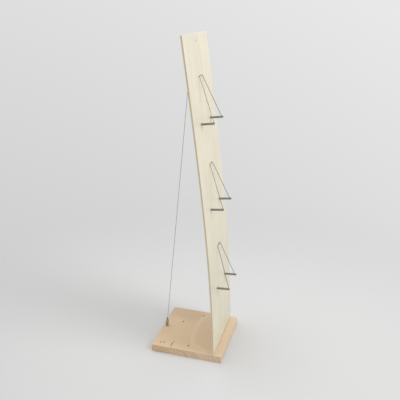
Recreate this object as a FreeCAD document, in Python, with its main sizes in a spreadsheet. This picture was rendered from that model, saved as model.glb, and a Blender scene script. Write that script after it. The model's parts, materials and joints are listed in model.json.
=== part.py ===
import FreeCAD, Part
import math
import os
import Sketcher

# Floor display stand: a bent plywood panel stands in a slot in a beech base,
# held back by a steel stay cable. Three pairs of steel rods carry what is
# shown, and a hinged wire retainer lies against each pair's load.
# Origin: centre of the base's underside. +Z up, the front faces -Y.

Vector = FreeCAD.Vector
document = FreeCAD.newDocument("display_stand")
sheet = document.addObject("Spreadsheet::Sheet", "sizes")

SIZES = {
    # Base board
    "stand_width": 286,
    "base_depth": 283,
    "base_thickness": 29,
    "base_arris": 1.2,
    "fixing_hole_spacing": 220,
    "fixing_hole_radius": 3,
    # Panel, measured along its front face from the base's top
    "panel_thickness": 6.5,
    "panel_length": 1177,
    "foot_setback": 30,
    "foot_lean_angle": 1.6,
    "panel_bend_angle": 6.6,
    "slot_depth": 18,
    "slot_gap": 0.6,
    "tongue_inset": 12,
    # Support rods
    "rod_radius": 4,
    "rod_reach": 48,
    "rod_spacing": 121,
    "rod_tip_arris": 0.4,
    "lowest_rod_height": 247,
    "lower_rod_pitch": 319,
    "upper_rod_pitch": 312,
    # Screws and washers that hold the rods from behind
    "screw_radius": 2,
    "screw_grip": 10,
    "thread_gap": 0.05,
    "bore_run_out": 1,
    "button_head_radius": 3.8,
    "button_head_height": 2.2,
    "button_head_round": 1.6,
    "socket_flats": 2.5,
    "socket_depth": 1.3,
    "screw_hole_gap": 0.2,
    "washer_radius": 4.5,
    "washer_thickness": 0.8,
    "seat_gap": 0.02,
    # Wire retainers
    "wire_radius": 1,
    "pintle_setback": 3.5,
    "pintle_gap": 0.07,
    "pintle_overhang": 1.2,
    "pintle_bend_radius": 2,
    "retainer_height": 164,
    "retainer_top_width": 35,
    "retainer_top_radius": 4,
    "rest_gap": 0.3,
    # Stay cable and its upper anchor
    "cable_radius": 0.75,
    "cable_foot_inset": 14.3,
    "anchor_drop": 25,
    "cable_standoff": 7.4,
    "post_radius": 4.5,
    "post_length": 12,
    "post_arris": 0.6,
    "cable_hole_gap": 0.3,
    "post_screw_radius": 2,
    "post_screw_grip": 4,
    "post_screw_head_radius": 3.8,
    "post_screw_head_height": 2.2,
    "ferrule_radius": 1.9,
    "ferrule_length": 8,
    "cable_tail": 2,
    # Tensioner at the cable's foot, measured along the cable
    "barrel_radius": 6,
    "barrel_length": 28,
    "barrel_lift": 1.2,
    "barrel_arris": 0.8,
    "tommy_hole_radius": 1.5,
    "stud_radius": 2.5,
    "stud_reach": 13,
    "stud_depth": 14,
    "terminal_grip": 12,
    "terminal_neck_radius": 2.2,
    "terminal_neck_length": 9,
    "swage_depth": 8,
    "insert_radius": 4.5,
    "insert_length": 16,
    "insert_sink": 0.8,
    # How far a cutting shape runs past the face that it cuts
    "overrun": 5,
}

PANEL_ARCS = 6


def fill_sheet():
    for row, (name, number) in enumerate(SIZES.items(), start=1):
        sheet.set("A%d" % row, name)
        sheet.set("B%d" % row, str(number))
        sheet.setAlias("B%d" % row, name)
    document.recompute()


def size(name):
    return float(sheet.get(name))


def value(rule):
    return float(sheet.evalExpression(rule))


fill_sheet()


# Helpers for sketches and features

def origin_plane(body, role):
    return [plane for plane in body.Origin.OriginFeatures if plane.Role == role][0]


def new_sketch(body, name, role):
    sketch = body.newObject("Sketcher::SketchObject", name)
    sketch.AttachmentSupport = [(origin_plane(body, role), "")]
    sketch.MapMode = "FlatFace"
    return sketch


def pin(sketch, curve, end, across, up):
    """Bind a sketch point to the sheet, or lay it on an axis where its rule is 0."""
    for kind, rule, axis in (("DistanceX", across, -2), ("DistanceY", up, -1)):
        if rule == "0":
            sketch.addConstraint(Sketcher.Constraint("PointOnObject", curve, end, axis))
        else:
            number = sketch.addConstraint(Sketcher.Constraint(kind, curve, end, value(rule)))
            sketch.setExpression("Constraints[%d]" % number, rule)


def outline_sketch(body, name, role, corners):
    """A closed outline of straight lines through corners given as rules."""
    sketch = new_sketch(body, name, role)
    points = [Vector(value(across), value(up), 0) for across, up in corners]
    count = len(points)
    for index in range(count):
        sketch.addGeometry(Part.LineSegment(points[index], points[(index + 1) % count]), False)
    for index in range(count):
        sketch.addConstraint(Sketcher.Constraint("Coincident", index, 2, (index + 1) % count, 1))
    for index, (across, up) in enumerate(corners):
        pin(sketch, index, 1, across, up)
    return sketch


def circle_sketch(body, name, role, circles):
    sketch = new_sketch(body, name, role)
    for across, up, radius in circles:
        centre = Vector(value(across), value(up), 0)
        index = sketch.addGeometry(Part.Circle(centre, Vector(0, 0, 1), value(radius)), False)
        pin(sketch, index, 3, across, up)
        number = sketch.addConstraint(Sketcher.Constraint("Radius", index, value(radius)))
        sketch.setExpression("Constraints[%d]" % number, radius)
    return sketch


def turned_body(label, profile):
    """A body of revolution about its own Z axis, from (radius, height) rules."""
    body = document.addObject("PartDesign::Body", label)
    body.Label = label
    sketch = outline_sketch(body, label + "_profile", "XZ_Plane", profile)
    turned = body.newObject("PartDesign::Revolution", label + "_turned")
    turned.Profile = sketch
    turned.ReferenceAxis = (sketch, ["V_Axis"])
    turned.Angle = 360
    document.recompute()
    return body


def cross_pocket(body, sketch, length):
    """Cut both ways from a sketch that lies inside the piece, and check that it cut."""
    before = body.Shape.Volume
    pocket = body.newObject("PartDesign::Pocket", sketch.Name + "_cut")
    pocket.Profile = sketch
    pocket.SideType = "Symmetric"
    pocket.setExpression("Length", length)
    document.recompute()
    must_be_less(body, before)


def pocket_from(body, sketch, length, reverse=False):
    before = body.Shape.Volume
    pocket = body.newObject("PartDesign::Pocket", sketch.Name + "_cut")
    pocket.Profile = sketch
    pocket.Reversed = reverse
    pocket.setExpression("Length", length)
    document.recompute()
    must_be_less(body, before)


def must_be_less(body, before):
    if not body.Shape.Volume < before:
        raise RuntimeError("A cut removed nothing from " + body.Label)


def drill(name, radius, length, placement):
    """A plain cylinder along its placement's Z axis, for cutting."""
    tool = document.addObject("Part::Cylinder", name)
    tool.setExpression("Radius", radius)
    tool.setExpression("Height", length)
    tool.Placement = placement
    return tool


def cut(label, piece, tools):
    """Cut tools from a piece; the result takes the sub-part's label."""
    group = document.addObject("Part::Compound", label + "_tools")
    group.Links = tools
    result = document.addObject("Part::Cut", label)
    result.Base = piece
    result.Tool = group
    result.Label = label
    document.recompute()
    must_be_less(result, piece.Shape.Volume)
    return result


# The panel's curve: the cable draws it back, so it bends most at the foot
# and hardly at all at the top. Equal lengths of tangent arcs follow it.

def lean_at(distance):
    """The panel's lean from upright, in degrees, at a distance up its front face."""
    share = distance / size("panel_length")
    return size("foot_lean_angle") + size("panel_bend_angle") * (2 * share - share ** 2)


def along(point, lean, distance):
    """Step up the panel: points hold Y and Z."""
    angle = math.radians(lean)
    return (point[0] + distance * math.sin(angle), point[1] + distance * math.cos(angle))


def across(point, lean, distance):
    """Step square to the panel, towards its back."""
    angle = math.radians(lean)
    return (point[0] + distance * math.cos(angle), point[1] - distance * math.sin(angle))


def foot_point():
    """Where the panel's front face leaves the base's top."""
    return (size("foot_setback") - size("base_depth") / 2, size("base_thickness"))


def front_point(distance):
    """A point of the front face, and the lean there, walked arc by arc."""
    step = size("panel_length") / PANEL_ARCS
    point = foot_point()
    lean = size("foot_lean_angle")
    start = 0
    while True:
        turn = lean_at(start + step) - lean_at(start)
        last = start + step * 1.5 > size("panel_length")
        run = distance - start if last or distance < start + step else step
        turned = turn * run / step
        chord = run
        if turned:
            half = math.radians(turned / 2)
            chord = run * math.sin(half) / half
        point = along(point, lean + turned / 2, chord)
        lean += turned
        if run < step or last:
            return point, lean
        start += step


def panel_frame(distance, side, depth):
    """A place on the panel: local X to the side, Y up the panel, Z out of its front.

    depth counts from the front face into the panel.
    """
    point, lean = front_point(distance)
    point = across(point, lean, depth)
    return FreeCAD.Placement(Vector(side, *point), FreeCAD.Rotation(Vector(1, 0, 0), 90 - lean))


LEVELS = ["bottom", "middle", "top"]
SIDES = {"left": -1, "right": 1}


def rod_height(level):
    """How far up the panel's front face a level's rods stand."""
    pitches = [size("lower_rod_pitch"), size("upper_rod_pitch")]
    return size("lowest_rod_height") + sum(pitches[:LEVELS.index(level)])


# The stay cable's line, in the plane X = 0

def cable_ends():
    foot = (size("base_depth") / 2 - size("cable_foot_inset"), size("base_thickness"))
    point, lean = front_point(size("panel_length") - size("anchor_drop"))
    head = across(point, lean, size("panel_thickness") + size("cable_standoff"))
    return foot, head


def cable_lean():
    """The cable's forward lean from upright, in degrees."""
    foot, head = cable_ends()
    return math.degrees(math.atan2(foot[0] - head[0], head[1] - foot[1]))


def cable_span():
    foot, head = cable_ends()
    return math.hypot(foot[0] - head[0], head[1] - foot[1])


def cable_frame(distance):
    """A place on the cable's line, with Z along it, counted from the base's top."""
    foot = cable_ends()[0]
    point = along(foot, -cable_lean(), distance)
    return FreeCAD.Placement(Vector(0, *point), FreeCAD.Rotation(Vector(1, 0, 0), cable_lean()))


# Base: one beech board with a stopped slot for the panel's tongue, two fixing
# holes and the slanting bore for the anchor insert

def slot_corner(up, back):
    """Rules for a point by the slot: up the panel's foot, and back from its front face."""
    spot_y = "sizes.foot_setback - sizes.base_depth / 2"
    spot_y += " + sin(sizes.foot_lean_angle) * (%s) + cos(sizes.foot_lean_angle) * (%s)" % (up, back)
    spot_z = "sizes.base_thickness"
    spot_z += " + cos(sizes.foot_lean_angle) * (%s) - sin(sizes.foot_lean_angle) * (%s)" % (up, back)
    return spot_y, spot_z


def make_base():
    board = document.addObject("PartDesign::Body", "base_board")
    half_width = "sizes.stand_width / 2"
    half_depth = "sizes.base_depth / 2"
    corners = [
        ("-" + half_width, "-" + half_depth),
        (half_width, "-" + half_depth),
        (half_width, half_depth),
        ("-" + half_width, half_depth),
    ]
    pad = board.newObject("PartDesign::Pad", "board_pad")
    pad.Profile = outline_sketch(board, "board_outline", "XY_Plane", corners)
    pad.setExpression("Length", "sizes.base_thickness")
    document.recompute()
    arris = board.newObject("PartDesign::Chamfer", "board_arris")
    arris.Base = (pad, ["Edge%d" % (index + 1) for index in range(len(pad.Shape.Edges))])
    arris.setExpression("Size", "sizes.base_arris")
    document.recompute()

    slot = outline_sketch(board, "panel_slot", "YZ_Plane", [
        slot_corner("-sizes.slot_depth", "-sizes.slot_gap"),
        slot_corner("-sizes.slot_depth", "sizes.panel_thickness"),
        slot_corner("sizes.overrun", "sizes.panel_thickness"),
        slot_corner("sizes.overrun", "-sizes.slot_gap"),
    ])
    cross_pocket(board, slot, "sizes.stand_width - 2 * sizes.tongue_inset + 2 * sizes.slot_gap")

    half_spacing = "sizes.fixing_hole_spacing / 2"
    holes = circle_sketch(board, "fixing_holes", "XY_Plane", [
        ("-" + half_spacing, "0", "sizes.fixing_hole_radius"),
        (half_spacing, "0", "sizes.fixing_hole_radius"),
    ])
    pocket_from(board, holes, "sizes.base_thickness", reverse=True)

    bore_depth = "sizes.insert_sink + sizes.insert_length"
    start = cable_frame(-value(bore_depth))
    bore = drill("insert_bore", "sizes.insert_radius + sizes.seat_gap",
                 bore_depth + " + sizes.overrun", start)
    return cut("base_plate", board, [bore])


# Panel: plywood with a straight tongue in the slot and a shoulder on the base
# at each end of it, drilled for the rod screws and countersunk for the
# anchor post's screw

def panel_outline(body):
    sketch = new_sketch(body, "panel_outline", "YZ_Plane")
    step = size("panel_length") / PANEL_ARCS
    thickness = size("panel_thickness")
    toe = along(foot_point(), size("foot_lean_angle"), -size("slot_depth"))

    def face(distance, depth):
        point, lean = front_point(distance)
        return Vector(*across(point, lean, depth), 0)

    def curve(start, end, depth):
        middle = face((start + end) / 2, depth)
        return Part.Arc(face(start, depth), middle, face(end, depth))

    heel = Vector(*across(toe, size("foot_lean_angle"), thickness), 0)
    edges = [Part.LineSegment(Vector(*toe, 0), face(0, 0))]
    stations = [step * index for index in range(PANEL_ARCS + 1)]
    for start, end in zip(stations, stations[1:]):
        edges.append(curve(start, end, 0))
    edges.append(Part.LineSegment(face(stations[-1], 0), face(stations[-1], thickness)))
    for start, end in reversed(list(zip(stations, stations[1:]))):
        edges.append(curve(end, start, thickness))
    edges.append(Part.LineSegment(face(0, thickness), heel))
    edges.append(Part.LineSegment(heel, Vector(*toe, 0)))
    for edge in edges:
        sketch.addGeometry(edge, False)
    return sketch


def cut_shoulders(body):
    """Notch both ends of the foot down from the base's top, which leaves the tongue."""
    top = "sizes.base_thickness"
    bottom = "sizes.base_thickness - sizes.slot_depth - sizes.overrun"
    for side, sign in (("left", "-"), ("right", "")):
        inner = sign + "(sizes.stand_width / 2 - sizes.tongue_inset)"
        outer = sign + "(sizes.stand_width / 2 + sizes.overrun)"
        notch = outline_sketch(body, side + "_shoulder", "XZ_Plane", [
            (inner, bottom),
            (outer, bottom),
            (outer, top),
            (inner, top),
        ])
        cross_pocket(body, notch, "sizes.base_depth")


def make_panel():
    sheet_body = document.addObject("PartDesign::Body", "panel_sheet")
    pad = sheet_body.newObject("PartDesign::Pad", "panel_pad")
    pad.Profile = panel_outline(sheet_body)
    pad.SideType = "Symmetric"
    pad.setExpression("Length", "sizes.stand_width")
    document.recompute()
    cut_shoulders(sheet_body)

    tools = []
    drilled = "sizes.panel_thickness + 2 * sizes.overrun"
    for level in LEVELS:
        for side, sign in SIDES.items():
            place = panel_frame(rod_height(level), sign * size("rod_spacing") / 2,
                                size("panel_thickness") + size("overrun"))
            tools.append(drill("rod_hole_%s_%s" % (level, side),
                               "sizes.screw_radius + sizes.screw_hole_gap", drilled, place))
    post_height = size("panel_length") - size("anchor_drop")
    back = panel_frame(post_height, 0, size("panel_thickness") + size("overrun"))
    tools.append(drill("post_hole", "sizes.post_screw_radius + sizes.screw_hole_gap", drilled, back))
    sink = document.addObject("Part::Cone", "post_countersink")
    sink.setExpression("Radius1", "sizes.post_screw_radius + sizes.screw_hole_gap")
    sink.setExpression("Radius2", "sizes.post_screw_head_radius + sizes.screw_hole_gap")
    sink.setExpression("Height", "sizes.post_screw_head_height")
    sink.Placement = panel_frame(post_height, 0, size("post_screw_head_height"))
    tools.append(sink)
    return cut("back_panel", sheet_body, tools)


# Rods: turned steel pins, tapped at the root and cross-drilled near the tip

def make_rod(level, side):
    label = "%s_%s_rod" % (level, side)
    bore = "sizes.screw_radius + sizes.thread_gap"
    bore_depth = "sizes.screw_grip + sizes.bore_run_out"
    rod = turned_body(label, [
        (bore, "0"),
        ("sizes.rod_radius", "0"),
        ("sizes.rod_radius", "sizes.rod_reach - sizes.rod_tip_arris"),
        ("sizes.rod_radius - sizes.rod_tip_arris", "sizes.rod_reach"),
        ("0", "sizes.rod_reach"),
        ("0", bore_depth),
        (bore, bore_depth),
    ])
    eye = circle_sketch(rod, label + "_eye", "YZ_Plane", [
        ("0", "sizes.rod_reach - sizes.pintle_setback", "sizes.wire_radius + sizes.pintle_gap"),
    ])
    cross_pocket(rod, eye, "2 * (sizes.rod_radius + sizes.overrun)")
    rod.Placement = panel_frame(rod_height(level), SIDES[side] * size("rod_spacing") / 2, 0)
    return rod


# Screws and washers: a washer on the panel's back, and a button-head screw
# through it into the rod. The screw's own zero is the top of its head.

def hexagon(flats):
    corner = flats + " / sqrt(3)"
    half_corner = flats + " / (2 * sqrt(3))"
    half_flat = flats + " / 2"
    return [
        (corner, "0"),
        (half_corner, half_flat),
        ("-" + half_corner, half_flat),
        ("-" + corner, "0"),
        ("-" + half_corner, "-" + half_flat),
        (half_corner, "-" + half_flat),
    ]


def make_rod_screw(level, side):
    label = "rod_screw_%s_%s" % (level, side)
    under_head = "-sizes.button_head_height"
    tip = under_head + " - sizes.washer_thickness - 2 * sizes.seat_gap"
    tip += " - sizes.panel_thickness - sizes.screw_grip"
    screw = turned_body(label, [
        ("0", "0"),
        ("sizes.button_head_radius", "0"),
        ("sizes.button_head_radius", under_head),
        ("sizes.screw_radius", under_head),
        ("sizes.screw_radius", tip),
        ("0", tip),
    ])
    turned = screw.Tip
    rim = [
        "Edge%d" % (index + 1) for index, edge in enumerate(turned.Shape.Edges)
        if isinstance(edge.Curve, Part.Circle)
        and math.isclose(edge.Curve.Radius, size("button_head_radius"))
        and math.isclose(edge.Curve.Center.z, 0, abs_tol=size("seat_gap"))
    ]
    dome = screw.newObject("PartDesign::Fillet", label + "_dome")
    dome.Base = (turned, rim)
    dome.setExpression("Radius", "sizes.button_head_round")
    document.recompute()
    socket = outline_sketch(screw, label + "_socket", "XY_Plane", hexagon("sizes.socket_flats"))
    pocket_from(screw, socket, "sizes.socket_depth")
    depth = value("sizes.panel_thickness + sizes.washer_thickness + 2 * sizes.seat_gap")
    place = panel_frame(rod_height(level), SIDES[side] * size("rod_spacing") / 2,
                        depth + size("button_head_height"))
    screw.Placement = place.multiply(FreeCAD.Placement(Vector(), FreeCAD.Rotation(Vector(1, 0, 0), 180)))
    return screw


def make_washer(level, side):
    hole = "sizes.screw_radius + sizes.screw_hole_gap"
    washer = turned_body("rod_washer_%s_%s" % (level, side), [
        (hole, "0"),
        ("sizes.washer_radius", "0"),
        ("sizes.washer_radius", "sizes.washer_thickness"),
        (hole, "sizes.washer_thickness"),
    ])
    depth = value("sizes.panel_thickness + sizes.seat_gap + sizes.washer_thickness")
    washer.Placement = panel_frame(rod_height(level),
                                   SIDES[side] * size("rod_spacing") / 2, depth)
    return washer


def gather(label, pieces):
    """Identical fasteners share one sub-part as separate solids."""
    group = document.addObject("Part::Compound", label)
    group.Links = pieces
    group.Label = label
    document.recompute()
    return group


# Retainers: one bent wire each. Its ends are pintles in the two rods, and
# its flat top bar falls back against the panel.

# A wire's lean is found by halving the range up to the steepest lean, and
# the bar's distance from the curved panel by stepping to its nearest point
STEEPEST_LEAN_ANGLE = 45
LEAN_HALVINGS = 40
NEAREST_STEPS = 20


def rounded_route(corners, radii):
    """Straight runs through the corners, joined by tangent arcs."""
    edges = []
    start = corners[0]
    for before, corner, after, radius in zip(corners, corners[1:], corners[2:], radii):
        inward = (before - corner).normalize()
        outward = (after - corner).normalize()
        half_angle = inward.getAngle(outward) / 2
        reach = radius / math.tan(half_angle)
        middle_direction = (inward + outward).normalize()
        middle = corner + middle_direction * (radius / math.sin(half_angle) - radius)
        arc_start = corner + inward * reach
        arc_end = corner + outward * reach
        edges.append(Part.LineSegment(start, arc_start))
        edges.append(Part.Arc(arc_start, middle, arc_end))
        start = arc_end
    edges.append(Part.LineSegment(start, corners[-1]))
    return edges


def retainer_lean(level):
    """The wire's backward lean at which its top bar rests on the panel."""
    hinge = hinge_point(level)
    clear = size("wire_radius") + size("rest_gap")
    low = 0
    high = STEEPEST_LEAN_ANGLE
    for halving in range(LEAN_HALVINGS):
        lean = (low + high) / 2
        if bar_distance(along(hinge, lean, size("retainer_height"))) > clear:
            low = lean
        else:
            high = lean
    return low


def bar_distance(bar):
    """How far a point stands off the panel's front face, square to it."""
    distance = bar[1] - size("base_thickness")
    for step in range(NEAREST_STEPS):
        point, lean = front_point(distance)
        angle = math.radians(lean)
        offset = (bar[0] - point[0], bar[1] - point[1])
        distance += offset[0] * math.sin(angle) + offset[1] * math.cos(angle)
    return -(offset[0] * math.cos(angle) - offset[1] * math.sin(angle))


def hinge_point(level):
    point, lean = front_point(rod_height(level))
    return across(point, lean, size("pintle_setback") - size("rod_reach"))


def make_retainer(level):
    label = "%s_retainer" % level
    rod_side = value("sizes.rod_spacing / 2 - sizes.rod_radius")
    knee = rod_side - size("pintle_bend_radius")
    tip = value("sizes.rod_spacing / 2 + sizes.rod_radius + sizes.pintle_overhang")
    shoulder = size("retainer_top_width") / 2
    height = size("retainer_height")
    corners = [
        Vector(-tip, 0, 0),
        Vector(-knee, 0, 0),
        Vector(-shoulder, height, 0),
        Vector(shoulder, height, 0),
        Vector(knee, 0, 0),
        Vector(tip, 0, 0),
    ]
    bend = size("pintle_bend_radius")
    crown = size("retainer_top_radius")
    wire = document.addObject("PartDesign::Body", label)
    wire.Label = label
    spine = new_sketch(wire, label + "_spine", "XZ_Plane")
    for edge in rounded_route(corners, [bend, crown, crown, bend]):
        spine.addGeometry(edge, False)
    section = circle_sketch(wire, label + "_section", "YZ_Plane", [("0", "0", "sizes.wire_radius")])
    section.setExpression("AttachmentOffset.Base.z",
                          "-(sizes.rod_spacing / 2 + sizes.rod_radius + sizes.pintle_overhang)")
    document.recompute()
    swept = wire.newObject("PartDesign::AdditivePipe", label + "_swept")
    swept.Profile = section
    swept.Spine = spine
    document.recompute()
    hinge = hinge_point(level)
    wire.Placement = FreeCAD.Placement(Vector(0, *hinge),
                                       FreeCAD.Rotation(Vector(-1, 0, 0), retainer_lean(level)))
    return wire


# Upper anchor: a turned post on the panel's back, drilled on the slant for
# the cable, with a countersunk screw from the front

def make_post():
    bore = "sizes.post_screw_radius + sizes.thread_gap"
    bore_depth = "-sizes.post_screw_grip"
    post = turned_body("post_blank", [
        (bore, "0"),
        ("sizes.post_radius", "0"),
        ("sizes.post_radius", "sizes.post_arris - sizes.post_length"),
        ("sizes.post_radius - sizes.post_arris", "-sizes.post_length"),
        ("0", "-sizes.post_length"),
        ("0", bore_depth),
        (bore, bore_depth),
    ])
    post.Placement = panel_frame(size("panel_length") - size("anchor_drop"), 0,
                                 value("sizes.panel_thickness + sizes.seat_gap"))
    run = "2 * (sizes.post_radius + sizes.overrun)"
    place = cable_frame(cable_span() - value(run) / 2)
    hole = drill("post_cable_hole", "sizes.cable_radius + sizes.cable_hole_gap", run, place)
    return cut("anchor_post", post, [hole])


def make_post_screw():
    under_head = "-sizes.post_screw_head_height"
    tip = "-sizes.panel_thickness - sizes.post_screw_grip"
    screw = turned_body("anchor_screw", [
        ("0", "0"),
        ("sizes.post_screw_head_radius", "0"),
        ("sizes.post_screw_radius", under_head),
        ("sizes.post_screw_radius", tip),
        ("0", tip),
    ])
    socket = outline_sketch(screw, "anchor_screw_socket", "XY_Plane", hexagon("sizes.socket_flats"))
    pocket_from(screw, socket, "sizes.socket_depth")
    screw.Placement = panel_frame(size("panel_length") - size("anchor_drop"), 0, size("seat_gap"))
    return screw


# Stay cable, its stop ferrule above the post and its swaged terminal below

def cable_slant():
    """The angle between the cable and the panel at the post, in degrees."""
    return cable_lean() + front_point(size("panel_length") - size("anchor_drop"))[1]


def ferrule_start():
    """Where the ferrule's lower face stands on the post, along the cable."""
    slant = math.radians(cable_slant())
    reach = size("post_radius") + size("ferrule_radius") * math.sin(slant)
    return cable_span() + reach / math.cos(slant) + size("seat_gap")


def make_ferrule():
    hole = "sizes.cable_radius + sizes.seat_gap"
    ferrule = turned_body("cable_ferrule", [
        (hole, "0"),
        ("sizes.ferrule_radius", "0"),
        ("sizes.ferrule_radius", "sizes.ferrule_length"),
        (hole, "sizes.ferrule_length"),
    ])
    ferrule.Placement = cable_frame(ferrule_start())
    return ferrule


def neck_top():
    return value("sizes.barrel_lift + sizes.barrel_length + sizes.terminal_neck_length")


def make_cable():
    start = neck_top() - size("swage_depth")
    end = ferrule_start() + size("ferrule_length") + size("cable_tail")
    cable = document.addObject("Part::Cylinder", "stay_cable")
    cable.setExpression("Radius", "sizes.cable_radius")
    cable.Height = end - start
    cable.Placement = cable_frame(start)
    cable.Label = "stay_cable"
    return cable


def make_terminal():
    hole = "sizes.cable_radius + sizes.seat_gap"
    neck = "sizes.terminal_neck_length"
    terminal = turned_body("cable_terminal", [
        ("0", "-sizes.terminal_grip"),
        ("sizes.stud_radius", "-sizes.terminal_grip"),
        ("sizes.stud_radius", "0"),
        ("sizes.terminal_neck_radius", "0"),
        ("sizes.terminal_neck_radius", neck),
        (hole, neck),
        (hole, neck + " - sizes.swage_depth"),
        ("0", neck + " - sizes.swage_depth"),
    ])
    terminal.Placement = cable_frame(value("sizes.barrel_lift + sizes.barrel_length"))
    return terminal


# Tensioner: a barrel that turns on a stud below and on the terminal above,
# whose threads run opposite ways, so that turning it draws the cable tight

def make_barrel():
    hole = "sizes.stud_radius + sizes.thread_gap"
    edge = "sizes.barrel_radius - sizes.barrel_arris"
    barrel = turned_body("tensioner_barrel", [
        (hole, "0"),
        (edge, "0"),
        ("sizes.barrel_radius", "sizes.barrel_arris"),
        ("sizes.barrel_radius", "sizes.barrel_length - sizes.barrel_arris"),
        (edge, "sizes.barrel_length"),
        (hole, "sizes.barrel_length"),
    ])
    stud_end = "(sizes.stud_reach - sizes.barrel_lift)"
    terminal_end = "(sizes.barrel_length - sizes.terminal_grip)"
    middle = "(%s + %s) / 2" % (stud_end, terminal_end)
    tommy = circle_sketch(barrel, "tommy_hole", "YZ_Plane", [("0", middle, "sizes.tommy_hole_radius")])
    cross_pocket(barrel, tommy, "2 * (sizes.barrel_radius + sizes.overrun)")
    barrel.Placement = cable_frame(size("barrel_lift"))
    return barrel


def make_stud():
    stud = turned_body("anchor_stud", [
        ("0", "-sizes.stud_depth"),
        ("sizes.stud_radius", "-sizes.stud_depth"),
        ("sizes.stud_radius", "sizes.stud_reach"),
        ("0", "sizes.stud_reach"),
    ])
    stud.Placement = cable_frame(0)
    return stud


def make_insert():
    hole = "sizes.stud_radius + sizes.thread_gap"
    top = "-sizes.insert_sink"
    bottom = top + " - sizes.insert_length"
    insert = turned_body("anchor_insert", [
        (hole, top),
        (hole, "-sizes.stud_depth - sizes.seat_gap"),
        ("0", "-sizes.stud_depth - sizes.seat_gap"),
        ("0", bottom),
        ("sizes.insert_radius", bottom),
        ("sizes.insert_radius", top),
    ])
    insert.Placement = cable_frame(0)
    return insert


def all_subparts():
    places = [(level, side) for level in LEVELS for side in SIDES]
    subparts = [make_base(), make_panel()]
    subparts += [make_rod(level, side) for level, side in places]
    subparts.append(gather("rod_screws", [make_rod_screw(*place) for place in places]))
    subparts.append(gather("rod_washers", [make_washer(*place) for place in places]))
    subparts += [make_retainer(level) for level in LEVELS]
    subparts += [make_post(), make_post_screw(), make_ferrule(), make_cable()]
    subparts += [make_terminal(), make_barrel(), make_stud(), make_insert()]
    return subparts


def check(subparts):
    for item in document.Objects:
        if "Invalid" in item.State or "Error" in item.State:
            raise RuntimeError("%s failed: %s" % (item.Label, item.State))
    for part in subparts:
        if part.Shape.isNull() or not part.Shape.isValid():
            raise RuntimeError(part.Label + " has no valid shape")


subparts = all_subparts()
document.recompute()
check(subparts)
os.makedirs("parts", exist_ok=True)
for part in subparts:
    part.Shape.exportStep("parts/%s.step" % part.Label)
print("%d sub-parts, cable leans %.2f degrees" % (len(subparts), cable_lean()))
for level in LEVELS:
    print(level, "retainer leans %.2f degrees" % retainer_lean(level), "hinge", hinge_point(level))
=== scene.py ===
import json
import math

import bmesh
import bpy
import numpy as np
from mathutils import Matrix, Vector


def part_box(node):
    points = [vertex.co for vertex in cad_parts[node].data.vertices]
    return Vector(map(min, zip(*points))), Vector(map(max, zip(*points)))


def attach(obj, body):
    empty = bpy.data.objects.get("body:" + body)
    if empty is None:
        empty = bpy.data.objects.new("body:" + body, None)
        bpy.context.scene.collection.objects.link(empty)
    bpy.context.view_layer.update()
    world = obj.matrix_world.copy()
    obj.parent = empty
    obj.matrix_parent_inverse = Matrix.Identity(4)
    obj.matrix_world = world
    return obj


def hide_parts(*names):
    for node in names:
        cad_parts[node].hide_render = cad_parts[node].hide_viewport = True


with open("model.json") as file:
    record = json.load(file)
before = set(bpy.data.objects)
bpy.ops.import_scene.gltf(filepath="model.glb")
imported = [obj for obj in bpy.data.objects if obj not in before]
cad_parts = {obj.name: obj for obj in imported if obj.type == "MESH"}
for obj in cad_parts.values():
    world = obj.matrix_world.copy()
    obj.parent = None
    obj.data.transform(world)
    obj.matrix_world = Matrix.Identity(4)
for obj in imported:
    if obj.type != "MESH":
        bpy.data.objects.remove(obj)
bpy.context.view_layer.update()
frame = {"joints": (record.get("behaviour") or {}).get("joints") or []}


# The camera stands left of the stand and a little in front of it, somewhat
# above its top, and looks down at it. Its place, turns and lens are those of
# the photograph, whose frame is a square 400 pixels wide.
PHOTO_WIDTH = 400
FOCAL_PIXELS = 536.27
CAMERA_PLACE = (-1.8023, -0.5252, 1.3076)
# The camera's turns, in degrees
CAMERA_HEADING = -74.085
CAMERA_DIP = 20.619
CAMERA_ROLL = 0.492


def new_object(name, data):
    made = bpy.data.objects.new(name, data)
    bpy.context.scene.collection.objects.link(made)
    return made


camera_data = bpy.data.cameras.new("photo_camera")
camera_data.sensor_width = 36
camera_data.lens = FOCAL_PIXELS / PHOTO_WIDTH * camera_data.sensor_width
camera = new_object("photo_camera", camera_data)
camera.matrix_world = (
    Matrix.Translation(CAMERA_PLACE)
    @ Matrix.Rotation(math.radians(CAMERA_HEADING), 4, "Z")
    @ Matrix.Rotation(math.radians(90 - CAMERA_DIP), 4, "X")
    @ Matrix.Rotation(math.radians(CAMERA_ROLL), 4, "Z")
)
bpy.context.scene.camera = camera


# The base is one solid beech board, planed, with its grain running from side
# to side. A slot stopped short of its ends takes the panel's tongue, two holes
# fix it down, and a slanting bore at the rear takes the cable's anchor.
MM = 0.001
base_low, base_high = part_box("base_plate")
BASE_TOP = base_high.z
BASE_ARRIS = 1.6 * MM
FOOT_SETBACK = 30 * MM
FOOT_LEAN = math.radians(1.6)
SLOT_DEPTH = 18 * MM
SLOT_GAP = 0.6 * MM
TONGUE_INSET = 12 * MM
PANEL_THICKNESS = 6.5 * MM
OVERRUN = 5 * MM
FIXING_HOLES = 220 * MM
FIXING_HOLE_RADIUS = 3 * MM
HOLE_ARRIS = 0.2 * MM
foot_point = Vector((0, base_low.y + FOOT_SETBACK, BASE_TOP))


def new_piece(name, vertices, faces):
    mesh = bpy.data.meshes.new(name)
    mesh.from_pydata([tuple(v) for v in vertices], [], faces)
    mesh.validate()
    outward = bmesh.new()
    outward.from_mesh(mesh)
    bmesh.ops.recalc_face_normals(outward, faces=outward.faces)
    outward.to_mesh(mesh)
    outward.free()
    return new_object(name, mesh)


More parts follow.
